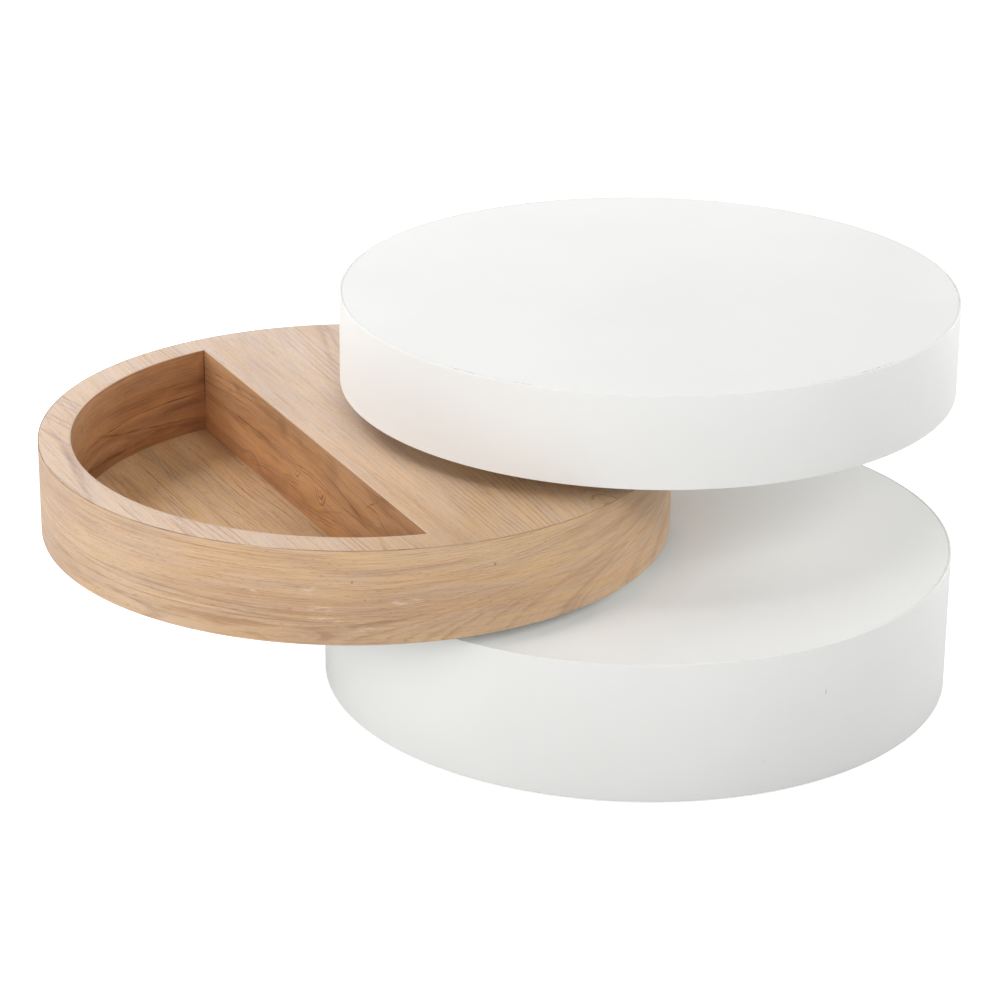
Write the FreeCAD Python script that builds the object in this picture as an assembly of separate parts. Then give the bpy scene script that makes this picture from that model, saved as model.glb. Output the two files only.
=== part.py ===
"""Swivel coffee table: three round drums that turn on one upright axis.

Millimetres, +Z up. The origin is on the floor, under the centre of the white base drum.
Each drum is built about its own centre, with local +X pointing at the swivel axis and
local z = 0 at its underside, and is then put in its place in the stack.
"""
import FreeCAD, Part
import math
import os

from FreeCAD import Vector

# The three drums
drum_radius = 350.0
base_height = 157.0
tray_height = 105.0
top_height = 105.0
swivel_gap = 18.0

# The swivel axis, and how far the tray and the top stand turned from the closed stack
pivot_rim_distance = 174.0
pivot_bearing = 152.5
tray_turn_angle = -126.0
top_turn_angle = 43.7

# Boards of the white drums
white_band_thickness = 3.0
white_edge_round = 1.0
base_bottom_thickness = 12.0
base_top_thickness = 15.0
top_bottom_thickness = 12.0
top_face_thickness = 15.0

# Boards and veneers of the tray
tray_band_thickness = 3.0
side_veneer_thickness = 0.8
veneer_edge_round = 0.4
tray_floor_thickness = 6.0
tray_deck_thickness = 15.0
recess_rim_width = 36.0
recess_chord_offset = 57.8
lining_thickness = 1.5
divider_thickness = 12.0
rim_block_count = 7
rim_block_width = 45.0

# Inner frame of every drum
rib_thickness = 12.0
far_rib_offset = 160.0
cross_rib_offset = 120.0
pivot_block_width = 260.0
pivot_block_thickness = 25.0
glue_line = 0.1

# Pads under the base
pad_radius = 15.0
pad_height = 3.0
pad_inset = 40.0
pad_count = 6

# Ball turntables
plate_radius = 120.0
plate_bore_radius = 26.0
plate_thickness = 2.5
race_width = 16.0
race_split = 3.0
ball_circle_radius = 90.0
ball_radius = 4.0
ball_count = 24
ball_clearance = 0.3
cage_width = 12.0
cage_thickness = 1.5
cage_pocket_clearance = 0.2

# Countersunk wood screws that hold the turntable plates
screw_count = 6
screw_circle_radius = 110.0
screw_shank_radius = 2.0
screw_head_radius = 4.0
screw_head_height = 2.2
screw_length = 20.0
screw_hole_clearance = 0.1

# Kingbolts, each in a flanged bush
bolt_radius = 6.0
bolt_hole_clearance = 0.2
bolt_head_flats = 18.0
bolt_head_height = 7.5
bolt_tail = 2.0
nut_height = 10.8
thread_clearance = 0.1
washer_radius = 12.0
washer_thickness = 2.5
washer_float = 0.3
bush_running_clearance = 0.05
bush_wall = 3.0
bush_flange_radius = 14.0
bush_flange_thickness = 2.0

# The swivel axis stands this far from every drum's centre
pivot_offset = drum_radius - pivot_rim_distance

# Heights in the stack
base_floor = pad_height
base_roof = base_floor + base_height
tray_floor = base_roof + swivel_gap
tray_roof = tray_floor + tray_height
top_floor = tray_roof + swivel_gap
top_roof = top_floor + top_height

# The deck panel lies on the tray's band, lining boards and ribs
tray_cavity_roof = tray_height - tray_deck_thickness
white_panel_radius = drum_radius - white_band_thickness - glue_line
tray_core_radius = drum_radius - side_veneer_thickness - glue_line
tray_band_inner = tray_core_radius - tray_band_thickness
tray_inset_radius = tray_band_inner - glue_line
recess_radius = drum_radius - recess_rim_width
lining_back_radius = recess_radius + lining_thickness
bush_radius = bolt_radius + bush_running_clearance + bush_wall


def polar(radius, degrees):
    """Point at a distance and bearing from the origin, on the floor plane."""
    turn = math.radians(degrees)
    return Vector(radius * math.cos(turn), radius * math.sin(turn), 0)


def disc(radius, low, high, centre=Vector(0, 0, 0)):
    """Upright cylinder between two heights."""
    return Part.makeCylinder(radius, high - low, Vector(centre.x, centre.y, low))


def ring(outer, inner, low, high):
    """Upright tube between two heights."""
    return disc(outer, low, high).cut(disc(inner, low, high))


def board(x_low, x_high, y_low, y_high, low, high):
    """Rectangular board given by its limits."""
    corner = Vector(x_low, y_low, low)
    return Part.makeBox(x_high - x_low, y_high - y_low, high - low, corner)


def hexagon(flats, low, high):
    """Upright hexagonal prism, as a bolt head or a nut."""
    corner_radius = flats / math.sqrt(3)
    corners = [polar(corner_radius, 60 * k) for k in range(6)]
    corners.append(corners[0])
    face = Part.Face(Part.makePolygon(corners))
    prism = face.extrude(Vector(0, 0, high - low))
    prism.translate(Vector(0, 0, low))
    return prism


def eased(shape, radius, edge_round):
    """Rounds the outer circular edges of a band."""
    edges = []
    for edge in shape.Edges:
        is_circle = isinstance(edge.Curve, Part.Circle)
        if is_circle and abs(edge.Curve.Radius - radius) < glue_line / 2:
            edges.append(edge)
    return shape.makeFillet(edge_round, edges)


def around(count, radius, first=0.0):
    """Equally spaced points on a circle."""
    return [polar(radius, first + 360.0 * k / count) for k in range(count)]


def in_row(shape, turned, height):
    """Puts a drum's piece in the stack: the drum turned about the swivel axis, at its height."""
    placed = shape.copy()
    placed.translate(Vector(-pivot_offset, 0, 0))
    placed.rotate(Vector(0, 0, 0), Vector(0, 0, 1), pivot_bearing + turned)
    placed.translate(polar(pivot_offset, pivot_bearing))
    placed.translate(Vector(0, 0, height))
    return placed


def save(name, shapes):
    """Writes one node, from one solid or a group of separate solids."""
    if len(shapes) == 1:
        shape = shapes[0]
    else:
        shape = Part.makeCompound(shapes)
    shape.exportStep("parts/" + name + ".step")


# The swivel axis in a drum's own frame
pivot = Vector(pivot_offset, 0, 0)


def at_pivot(shape):
    """Moves a piece built about the z axis to the swivel axis of a drum."""
    moved = shape.copy()
    moved.translate(pivot)
    return moved


def screw_pilots(low, high):
    """Pilot holes for one plate's screws, in a drum's own frame."""
    radius = screw_shank_radius + screw_hole_clearance
    holes = [disc(radius, low, high, point) for point in around(screw_count, screw_circle_radius)]
    return at_pivot(Part.makeCompound(holes))


def bolt_passage(radius, low, high):
    """Round hole on the swivel axis."""
    return at_pivot(disc(radius, low, high))


def pivot_board(low, high, inside, hole_radius):
    """Thick square board round the swivel axis, trimmed to the drum, bored for bolt and screws."""
    half = pivot_block_width / 2
    block = board(pivot.x - half, pivot.x + half, -half, half, low, high)
    block = block.common(disc(inside, low, high))
    block = block.cut(bolt_passage(hole_radius, low, high))
    return block.cut(screw_pilots(low, high))


def bored_panel(panel, low, high, hole_radius):
    """Cuts the bolt's and the screws' holes in a panel."""
    return panel.cut(bolt_passage(hole_radius, low, high)).cut(screw_pilots(low, high))


def near_rib_face():
    """Face of the main rib that the pivot board is set against."""
    return pivot.x - pivot_block_width / 2


def frame_ribs(low, high, inside, back_face):
    """Main rib beside the pivot board, cross ribs behind it, and side ribs to the band."""
    face = near_rib_face()
    main = board(face - rib_thickness, face, -inside, inside, low, high)
    ribs = [main]
    half_block = pivot_block_width / 2
    for side in (-1, 1):
        middle = side * cross_rib_offset
        edges = (middle - rib_thickness / 2, middle + rib_thickness / 2)
        ribs.append(board(back_face, face - rib_thickness, edges[0], edges[1], low, high))
        near = side * half_block
        edges = sorted((near, near + side * rib_thickness))
        ribs.append(board(face, inside, edges[0], edges[1], low, high))
    room = disc(inside, low, high)
    return [rib.common(room) for rib in ribs]


def far_rib(low, high, inside):
    """Long rib across the side away from the swivel axis."""
    rib = board(-far_rib_offset - rib_thickness, -far_rib_offset, -inside, inside, low, high)
    return rib.common(disc(inside, low, high))


def white_band(height):
    """Bent board round a white drum, its outer edges eased."""
    band = ring(drum_radius, drum_radius - white_band_thickness, 0, height)
    return eased(band, drum_radius, white_edge_round)


# ---------------------------------------------------------------- white base drum

def build_base():
    cavity_roof = base_height - base_top_thickness
    block_floor = cavity_roof - pivot_block_thickness
    inside = white_panel_radius
    bolt_hole = bolt_radius + bolt_hole_clearance

    bottom = disc(inside, 0, base_bottom_thickness)
    top = disc(inside, cavity_roof, base_height)
    top = bored_panel(top, cavity_roof, base_height, bolt_hole)
    block = pivot_board(block_floor, cavity_roof, inside, bolt_hole)
    ribs = frame_ribs(base_bottom_thickness, cavity_roof, inside, -far_rib_offset)
    ribs.append(far_rib(base_bottom_thickness, cavity_roof, inside))

    pads = [disc(pad_radius, 0, pad_height)]
    for point in around(pad_count, drum_radius - pad_inset):
        pads.append(disc(pad_radius, 0, pad_height, point))

    save("base_bottom_panel", [in_row(bottom, 0, base_floor)])
    save("base_side_band", [in_row(white_band(base_height), 0, base_floor)])
    save("base_top_panel", [in_row(top, 0, base_floor)])
    save("base_pivot_block", [in_row(block, 0, base_floor)])
    save("base_ribs", [in_row(rib, 0, base_floor) for rib in ribs])
    save("floor_pads", [in_row(pad, 0, 0) for pad in pads])


# ---------------------------------------------------------------- oak tray drum

def recess_shape(radius, chord, low, high):
    """Circle segment on the side away from the swivel axis."""
    return disc(radius, low, high).common(board(-radius, -chord, -radius, radius, low, high))


def build_tray_shell():
    inside = tray_inset_radius
    bush_hole = bush_radius + glue_line
    bolt_hole = bolt_radius + bolt_hole_clearance

    floor_panel = disc(inside, 0, tray_floor_thickness)
    floor_panel = bored_panel(floor_panel, 0, tray_floor_thickness, bush_hole)
    band = ring(tray_core_radius, tray_band_inner, 0, tray_cavity_roof)
    veneer = ring(drum_radius, drum_radius - side_veneer_thickness, 0, tray_height)
    veneer = eased(veneer, drum_radius, veneer_edge_round)

    opening = recess_shape(
        lining_back_radius + glue_line,
        recess_chord_offset - lining_thickness,
        tray_cavity_roof,
        tray_height,
    )
    deck = disc(tray_core_radius, tray_cavity_roof, tray_height).cut(opening)
    deck = bored_panel(deck, tray_cavity_roof, tray_height, bolt_hole)

    save("tray_floor_panel", [in_row(floor_panel, tray_turn_angle, tray_floor)])
    save("tray_side_band", [in_row(band, tray_turn_angle, tray_floor)])
    save("tray_side_veneer", [in_row(veneer, tray_turn_angle, tray_floor)])
    save("tray_deck_panel", [in_row(deck, tray_turn_angle, tray_floor)])


def build_recess():
    low = tray_floor_thickness
    chord_face = -recess_chord_offset
    lining_back = chord_face + lining_thickness
    divider_back = lining_back + divider_thickness
    half_chord = math.sqrt(lining_back_radius ** 2 - recess_chord_offset ** 2)

    curved = ring(lining_back_radius, recess_radius, low, tray_height)
    curved = curved.common(
        board(-lining_back_radius, chord_face, -lining_back_radius, lining_back_radius, low, tray_height)
    )
    flat = board(chord_face, lining_back, -half_chord, half_chord, low, tray_height)
    divider = board(
        lining_back, divider_back, -tray_inset_radius, tray_inset_radius, low, tray_cavity_roof
    )
    divider = divider.common(disc(tray_inset_radius, low, tray_cavity_roof))

    rim = ring(tray_inset_radius, lining_back_radius + glue_line, low, tray_cavity_roof)
    arc = 2 * math.degrees(math.acos(recess_chord_offset / recess_radius))
    step = arc / rim_block_count
    half_width = rim_block_width / 2
    blocks = []
    for k in range(rim_block_count):
        slab = board(0, drum_radius, -half_width, half_width, low, tray_cavity_roof)
        slab.rotate(Vector(0, 0, 0), Vector(0, 0, 1), 180 + step * (k - (rim_block_count - 1) / 2))
        blocks.append(rim.common(slab))

    ribs = frame_ribs(low, tray_cavity_roof, tray_inset_radius, divider_back)

    save("tray_curved_lining", [in_row(curved, tray_turn_angle, tray_floor)])
    save("tray_divider_lining", [in_row(flat, tray_turn_angle, tray_floor)])
    save("tray_divider", [in_row(divider, tray_turn_angle, tray_floor)])
    save("tray_rim_blocks", [in_row(block, tray_turn_angle, tray_floor) for block in blocks])
    save("tray_ribs", [in_row(rib, tray_turn_angle, tray_floor) for rib in ribs])


def build_tray_blocks():
    low = tray_floor_thickness
    lower = pivot_board(low, low + pivot_block_thickness, tray_inset_radius, bush_radius + glue_line)
    upper = pivot_board(
        tray_cavity_roof - pivot_block_thickness,
        tray_cavity_roof,
        tray_inset_radius,
        bolt_radius + bolt_hole_clearance,
    )
    save("tray_lower_block", [in_row(lower, tray_turn_angle, tray_floor)])
    save("tray_upper_block", [in_row(upper, tray_turn_angle, tray_floor)])


# ---------------------------------------------------------------- white top drum

def build_top():
    cavity_roof = top_height - top_face_thickness
    low = top_bottom_thickness
    inside = white_panel_radius
    bush_hole = bush_radius + glue_line

    bottom = bored_panel(disc(inside, 0, low), 0, low, bush_hole)
    face = disc(inside, cavity_roof, top_height)
    block = pivot_board(low, low + pivot_block_thickness, inside, bush_hole)
    ribs = frame_ribs(low, cavity_roof, inside, -far_rib_offset)
    ribs.append(far_rib(low, cavity_roof, inside))

    save("top_bottom_panel", [in_row(bottom, top_turn_angle, top_floor)])
    save("top_side_band", [in_row(white_band(top_height), top_turn_angle, top_floor)])
    save("top_face_panel", [in_row(face, top_turn_angle, top_floor)])
    save("top_pivot_block", [in_row(block, top_turn_angle, top_floor)])
    save("top_ribs", [in_row(rib, top_turn_angle, top_floor) for rib in ribs])


# ---------------------------------------------------------------- ball turntables

def flipped(shape):
    """The mate of a turntable piece: upside down within the swivel gap."""
    mate = shape.copy()
    mate.rotate(Vector(0, 0, swivel_gap / 2), Vector(1, 0, 0), 180)
    return mate


def countersunk_head(grow):
    """Cone of a screw's head, its face flush with the turntable plate."""
    low = plate_thickness - screw_head_height
    small = screw_shank_radius + grow
    large = screw_head_radius + grow
    return Part.makeCone(small, large, screw_head_height, Vector(0, 0, low))


def turntable_plate():
    """Lower plate with its raised race, grooved for the balls and drilled for the screws."""
    race_roof = (swivel_gap - race_split) / 2
    race_outer = ball_circle_radius + race_width / 2
    race_inner = ball_circle_radius - race_width / 2
    plate = ring(plate_radius, plate_bore_radius, 0, plate_thickness)
    plate = plate.fuse(ring(race_outer, race_inner, 0, race_roof))
    groove = Part.makeTorus(ball_circle_radius, ball_radius + ball_clearance)
    groove.translate(Vector(0, 0, swivel_gap / 2))
    plate = plate.cut(groove)
    for point in around(screw_count, screw_circle_radius):
        head = countersunk_head(screw_hole_clearance)
        head.translate(point)
        shank = disc(screw_shank_radius + screw_hole_clearance, 0, plate_thickness, point)
        plate = plate.cut(head).cut(shank)
    return plate.removeSplitter()


def plate_screws():
    """Screws of the lower plate, driven down into the drum below."""
    screws = []
    tip = plate_thickness - screw_length
    for point in around(screw_count, screw_circle_radius):
        shank = disc(screw_shank_radius, tip, plate_thickness - screw_head_height)
        screw = shank.fuse(countersunk_head(0))
        screw.translate(point)
        screws.append(screw.removeSplitter())
    return screws


def turntable_balls():
    balls = []
    for point in around(ball_count, ball_circle_radius):
        centre = Vector(point.x, point.y, swivel_gap / 2)
        balls.append(Part.makeSphere(ball_radius, centre))
    return balls


def ball_cage():
    low = (swivel_gap - cage_thickness) / 2
    high = low + cage_thickness
    cage = ring(
        ball_circle_radius + cage_width / 2,
        ball_circle_radius - cage_width / 2,
        low,
        high,
    )
    for point in around(ball_count, ball_circle_radius):
        cage = cage.cut(disc(ball_radius + cage_pocket_clearance, low, high, point))
    return cage


def kingbolt(head_roof, washer_floor):
    """Bolt from its head, under the lower block, to its tail above the nut, with washer and nut."""
    washer_roof = washer_floor + washer_thickness
    nut_roof = washer_roof + nut_height
    shank = disc(bolt_radius, head_roof, nut_roof + bolt_tail)
    head = hexagon(bolt_head_flats, head_roof - bolt_head_height, head_roof)
    bolt = head.fuse(shank)
    bore = bolt_radius + thread_clearance
    washer = ring(washer_radius, bore, washer_floor, washer_roof)
    nut = hexagon(bolt_head_flats, washer_roof, nut_roof).cut(disc(bore, washer_roof, nut_roof))
    return bolt, washer, nut


def flanged_bush(block_roof):
    """Plastic bush from the gap's roof to the top of the block above, with a flange on top."""
    bore = bolt_radius + bush_running_clearance
    roof = block_roof + bush_flange_thickness
    sleeve = disc(bush_radius, swivel_gap, roof)
    flange = disc(bush_flange_radius, block_roof, roof)
    return sleeve.fuse(flange).cut(disc(bore, swivel_gap, roof)).removeSplitter()


def build_swivel(gap_floor, below_turn, above_turn, panel_below, panel_above, names):
    """One turntable with its kingbolt, in the gap above the drum that carries it."""
    def in_gap(shape, turned):
        return in_row(at_pivot(shape), turned, gap_floor)

    plate = turntable_plate()
    screws = plate_screws()
    block_floor = -panel_below - pivot_block_thickness
    block_roof = swivel_gap + panel_above + pivot_block_thickness
    washer_floor = block_roof + bush_flange_thickness + washer_float
    bolt, washer, nut = kingbolt(block_floor, washer_floor)

    save(names["level"] + "_bottom_plate", [in_gap(plate, below_turn)])
    save(names["level"] + "_top_plate", [in_gap(flipped(plate), above_turn)])
    save(names["level"] + "_balls", [in_gap(ball, below_turn) for ball in turntable_balls()])
    save(names["level"] + "_ball_cage", [in_gap(ball_cage(), below_turn)])
    save(names["screws_below"], [in_gap(screw, below_turn) for screw in screws])
    save(names["screws_above"], [in_gap(flipped(screw), above_turn) for screw in screws])
    save(names["below"] + "_kingbolt", [in_gap(bolt, below_turn)])
    save(names["below"] + "_kingbolt_washer", [in_gap(washer, below_turn)])
    save(names["below"] + "_kingbolt_nut", [in_gap(nut, below_turn)])
    save(names["above"] + "_bush", [in_gap(flanged_bush(block_roof), above_turn)])


os.makedirs("parts", exist_ok=True)
build_base()
build_tray_shell()
build_recess()
build_tray_blocks()
build_top()
build_swivel(
    base_roof, 0, tray_turn_angle, base_top_thickness, tray_floor_thickness,
    {
        "level": "lower", "below": "base", "above": "tray",
        "screws_below": "base_plate_screws", "screws_above": "tray_under_screws",
    },
)
build_swivel(
    tray_roof, tray_turn_angle, top_turn_angle, tray_deck_thickness, top_bottom_thickness,
    {
        "level": "upper", "below": "tray", "above": "top",
        "screws_below": "tray_deck_screws", "screws_above": "top_under_screws",
    },
)
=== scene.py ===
import math

import bmesh
import bpy
from mathutils import Matrix, Vector


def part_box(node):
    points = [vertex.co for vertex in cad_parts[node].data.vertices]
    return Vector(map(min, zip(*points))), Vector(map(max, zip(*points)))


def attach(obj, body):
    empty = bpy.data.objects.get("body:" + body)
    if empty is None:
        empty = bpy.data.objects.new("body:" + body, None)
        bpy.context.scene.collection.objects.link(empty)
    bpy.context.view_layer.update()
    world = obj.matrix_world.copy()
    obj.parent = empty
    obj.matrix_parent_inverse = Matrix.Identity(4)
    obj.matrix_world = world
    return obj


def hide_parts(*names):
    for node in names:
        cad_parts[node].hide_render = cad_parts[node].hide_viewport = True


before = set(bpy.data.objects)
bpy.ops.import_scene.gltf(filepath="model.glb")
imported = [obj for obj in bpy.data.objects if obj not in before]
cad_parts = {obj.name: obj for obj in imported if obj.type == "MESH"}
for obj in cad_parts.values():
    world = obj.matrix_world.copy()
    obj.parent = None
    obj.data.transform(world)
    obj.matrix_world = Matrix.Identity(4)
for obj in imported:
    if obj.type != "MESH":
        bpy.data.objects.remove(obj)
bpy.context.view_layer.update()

# ------------------------------------------------------------------ floor pads
# Seven discs of dark self-adhesive foam under the base: one in the middle and six
# near the rim. They are punched from sheet, so their edges are a little soft.

# sizes are in metres where nothing else is said
PAD_RADIUS = 0.015
PAD_SETBACK = 0.040
PAD_BEARINGS = (0, 60, 120, 180, 240, 300)
PAD_EASE = 0.0006
PAD_SEGMENTS = 48
BEVEL_STEPS = 3
SMOOTH_ANGLE = math.radians(20)


def pick(*pieces):
    """Selects these pieces alone and makes the first of them active."""
    bpy.ops.object.select_all(action="DESELECT")
    for piece in pieces:
        piece.select_set(True)
    bpy.context.view_layer.objects.active = pieces[0]


def start_edit(piece):
    """Opens a piece for editing with nothing selected in it."""
    pick(piece)
    bpy.ops.object.mode_set(mode="EDIT")
    bpy.ops.mesh.select_all(action="DESELECT")


def end_edit():
    """Leaves editing."""
    bpy.ops.object.mode_set(mode="OBJECT")


def ease_edges(piece, ease, wanted, steps=BEVEL_STEPS):
    """Rounds over the edges whose two ends pass the test."""
    bpy.ops.mesh.select_mode(type="EDGE")
    mesh = bmesh.from_edit_mesh(piece.data)
    for edge in mesh.edges:
        edge.select_set(wanted(edge.verts[0].co, edge.verts[1].co))
    bmesh.update_edit_mesh(piece.data)
    bpy.ops.mesh.bevel(offset=ease, segments=steps, affect="EDGES")


def round_board(name, radius, low, high, ease, segments):
    """Round board about the z axis, its two edges eased."""
    bpy.ops.mesh.primitive_cylinder_add(
        vertices=segments, radius=radius, depth=high - low, location=(0, 0, (low + high) / 2)
    )
    board = bpy.context.object
    board.name = name
    bpy.ops.object.transform_apply()
    if ease:
        start_edit(board)
        ease_edges(board, ease, lambda a, b: abs(a.z - b.z) < ease / 2)
        end_edit()
    return board


def put(piece, centre, bearing=0.0):
    """Turns a piece about the z axis, moves it over a centre and applies its place."""
    pick(piece)
    piece.rotation_euler.z = bearing
    piece.location = (centre.x, centre.y, 0)
    bpy.ops.object.transform_apply()
    bpy.ops.object.shade_smooth_by_angle(angle=SMOOTH_ANGLE)
    return piece


def join(name, pieces):
    """Makes one piece of several that lie apart."""
    pick(*pieces)
    bpy.ops.object.join()
    pieces[0].name = name
    return pieces[0]


def add(tree, kind, inputs=None, **settings):
    """Adds a node with its settings; an input takes a value or another node's socket."""
    node = tree.nodes.new(kind)
    for name, value in settings.items():
        setattr(node, name, value)
    for name, value in (inputs or {}).items():
        if isinstance(value, bpy.types.NodeSocket):
            tree.links.new(value, node.inputs[name])
        else:
            node.inputs[name].default_value = value
    return node


def vector_of(tree, operation, *values):
    """Result of a Vector Math node: a value for a length, otherwise a vector."""
    node = add(tree, "ShaderNodeVectorMath", dict(enumerate(values)), operation=operation)
    return node.outputs["Value" if operation == "LENGTH" else "Vector"]


def ranged(tree, value, low, high, new_low=0.0, new_high=1.0, smooth=False):
    """A value's range moved to another, and held there."""
    kind = "SMOOTHSTEP" if smooth else "LINEAR"
    inputs = {"Value": value, "From Min": low, "From Max": high, "To Min": new_low, "To Max": new_high}
    return add(tree, "ShaderNodeMapRange", inputs, interpolation_type=kind).outputs["Result"]


def mixed(tree, amount, first, second, blend="MIX"):
    """Colour between two colours, or one laid over the other."""
    # of the node's slots, 0 is the amount, 6 and 7 are its two colours and 2 is the result
    inputs = {0: amount, 6: first, 7: second}
    return add(tree, "ShaderNodeMix", inputs, data_type="RGBA", blend_type=blend).outputs[2]


def noise_of(tree, place, scale, detail=2.0, roughness=0.5):
    """Noise over a place in metres. scale: steps per metre, for all axes or for each."""
    scales = scale if isinstance(scale, tuple) else (scale, scale, scale)
    spread = vector_of(tree, "MULTIPLY", place, scales)
    inputs = {"Vector": spread, "Scale": 1.0, "Detail": detail, "Roughness": roughness}
    return add(tree, "ShaderNodeTexNoise", inputs).outputs["Fac"]


def paint(red, green, blue):
    """A colour given as on a screen, from 0 to 255, in the linear values a shader takes."""
    linear = []
    for part in (red, green, blue):
        share = part / 255
        linear.append(share / 12.92 if share <= 0.04045 else ((share + 0.055) / 1.055) ** 2.4)
    return (*linear, 1.0)


def new_material(name, roughness, specular=0.5):
    """Material with its tree, its shader and its Object coordinates."""
    material = bpy.data.materials.new(name)
    material.use_nodes = True
    tree = material.node_tree
    shader = tree.nodes["Principled BSDF"]
    shader.inputs["Roughness"].default_value = roughness
    shader.inputs["Specular IOR Level"].default_value = specular
    place = add(tree, "ShaderNodeTexCoord").outputs["Object"]
    return material, tree, shader, place


def feed(tree, shader, colour, roughness=None):
    """Wires a colour into the shader, and a roughness where one is given."""
    tree.links.new(colour, shader.inputs["Base Color"])
    if roughness:
        tree.links.new(roughness, shader.inputs["Roughness"])


def bump(tree, shader, height, distance, strength=1.0):
    """Raises the shader's surface by a height from 0 to 1 times a distance in metres."""
    inputs = {"Height": height, "Distance": distance, "Strength": strength}
    tree.links.new(add(tree, "ShaderNodeBump", inputs).outputs[0], shader.inputs["Normal"])


def dress(piece, material):
    """Gives a piece one material all over."""
    piece.data.materials.clear()
    piece.data.materials.append(material)


def foam_material():
    """Dark closed-cell foam: fine cells and a dusty face."""
    material, tree, shader, place = new_material("pad_foam_sheet", 0.95, 0.2)
    cells = noise_of(tree, place, 900, 3)
    dust = noise_of(tree, place, 60)
    colour = mixed(tree, cells, paint(46, 45, 44), paint(70, 69, 67))
    colour = mixed(tree, ranged(tree, dust, 0.5, 0.8, 0, 0.35), colour, paint(150, 145, 138))
    feed(tree, shader, colour)
    bump(tree, shader, cells, 0.0004)
    return material


def centre_of(node):
    """Middle of a CAD node."""
    low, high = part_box(node)
    return (low + high) / 2


def radius_of(node):
    """Radius of a round CAD node."""
    low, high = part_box(node)
    return (high.x - low.x) / 2


base_centre = centre_of("base_side_band")
drum_radius = radius_of("base_side_band")
to_ring = Vector((drum_radius - PAD_SETBACK, 0, 0))
pad_places = [base_centre]
for bearing in PAD_BEARINGS:
    pad_places.append(base_centre + Matrix.Rotation(math.radians(bearing), 3, "Z") @ to_ring)
low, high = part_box("floor_pads")
pads = []
for pad_place in pad_places:
    pad = round_board("pad", PAD_RADIUS, low.z, high.z, PAD_EASE, PAD_SEGMENTS)
    pads.append(put(pad, pad_place))
floor_feet = join("floor_feet", pads)
dress(floor_feet, foam_material())
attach(floor_feet, "base")
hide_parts("floor_pads")

# ------------------------------------------------------- inner boards of the base
# Bottom panel, ribs and pivot block are plain sawn particle board, left raw. The
# bottom panel sits inside the side band and carries the pads.

BOARD_EASE = 0.0004
RIM_SEGMENTS = 360


def particle_board_material():
    """Pale pressed chips with darker bark flecks."""
    material, tree, shader, place = new_material("raw_particle_board", 0.85, 0.25)
    chips = noise_of(tree, place, 260, 4, 0.6)
    flecks = noise_of(tree, place, 620)
    broad = noise_of(tree, place, 9)
    colour = mixed(tree, ranged(tree, chips, 0.35, 0.65), paint(196, 172, 138), paint(222, 203, 172))
    colour = mixed(tree, ranged(tree, flecks, 0.66, 0.74), colour, paint(120, 92, 62))
    colour = mixed(tree, ranged(tree, broad, 0.3, 0.7, 0, 0.2), colour, paint(176, 150, 116))
    feed(tree, shader, colour)
    bump(tree, shader, chips, 0.0006, 0.6)
    return material


def dress_nodes(material, *nodes):
    """Gives CAD nodes that stay as they are one material."""
    for node in nodes:
        dress(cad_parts[node], material)


def inset_board(name, node, radius, centre):
    """Round board with eased edges, at the height of a CAD board."""
    low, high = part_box(node)
    return put(round_board(name, radius, low.z, high.z, BOARD_EASE, RIM_SEGMENTS), centre)


particle_board = particle_board_material()
dress_nodes(particle_board, "base_ribs", "base_pivot_block")

panel_radius = radius_of("base_top_panel")
base_underside = inset_board("base_underside", "base_bottom_panel", panel_radius, base_centre)
dress(base_underside, particle_board)
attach(base_underside, "base")
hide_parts("base_bottom_panel")

# --------------------------------------------------------- white side of the base
# One long strip of thin bendable board is wrapped round the ribs, filled at its
# joint, and sprayed with matt white lacquer. Its edges are sanded to a small round.

BAND_WALL = 0.003
BAND_ROUND = 0.0010
SEAM_ROUND = 0.0004
# how far up or down the normal of a level face points, at least
LEVEL = 0.9
# place, half size and strength of each small knock in the lacquer
SKIRT_SCUFFS = (
    ((0.1891, -0.2944, 0.106), (0.0011, 0.0011, 0.0055), 0.36),
    ((0.1250, -0.3270, 0.040), (0.0040, 0.0040, 0.0040), 0.06),
)


def select_level_faces(piece):
    """Selects the faces that point up or down."""
    bpy.ops.mesh.select_mode(type="FACE")
    mesh = bmesh.from_edit_mesh(piece.data)
    for face in mesh.faces:
        face.select_set(abs(face.normal.z) > LEVEL)
    bmesh.update_edit_mesh(piece.data)


def round_band(name, radius, wall, low, high, outer_ease, inner_ease):
    """Upright tube about the z axis, its outer and its inner edges eased."""
    band = round_board(name, radius, low, high, 0, RIM_SEGMENTS)
    start_edit(band)
    select_level_faces(band)
    bpy.ops.mesh.inset(thickness=wall)
    bpy.ops.mesh.bridge_edge_loops()
    inside = radius - wall / 2
    for ease, is_outer in ((outer_ease, True), (inner_ease, False)):
        if ease:
            ease_edges(
                band, ease,
                lambda a, b: abs(a.z - b.z) < wall / 10
                and (a.xy.length > inside) == is_outer
                and (b.xy.length > inside) == is_outer
                and min(abs(a.z - low), abs(a.z - high)) < wall / 100,
            )
    end_edit()
    return band


def white_band(name, node, centre):
    """Side band of a white drum, at the height of a CAD band."""
    low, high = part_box(node)
    band = round_band(name, drum_radius, BAND_WALL, low.z, high.z, BAND_ROUND, SEAM_ROUND)
    return put(band, centre)


def math_of(tree, operation, *values):
    """Result of a Math node."""
    return add(tree, "ShaderNodeMath", dict(enumerate(values)), operation=operation).outputs[0]


def product(tree, result, *others):
    """Values multiplied together."""
    for value in others:
        result = math_of(tree, "MULTIPLY", result, value)
    return result


def distance_of(tree, x, y):
    """Distance that steps of x and y at right angles come to."""
    return math_of(tree, "SQRT", math_of(tree, "MULTIPLY_ADD", x, x, product(tree, y, y)))


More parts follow.
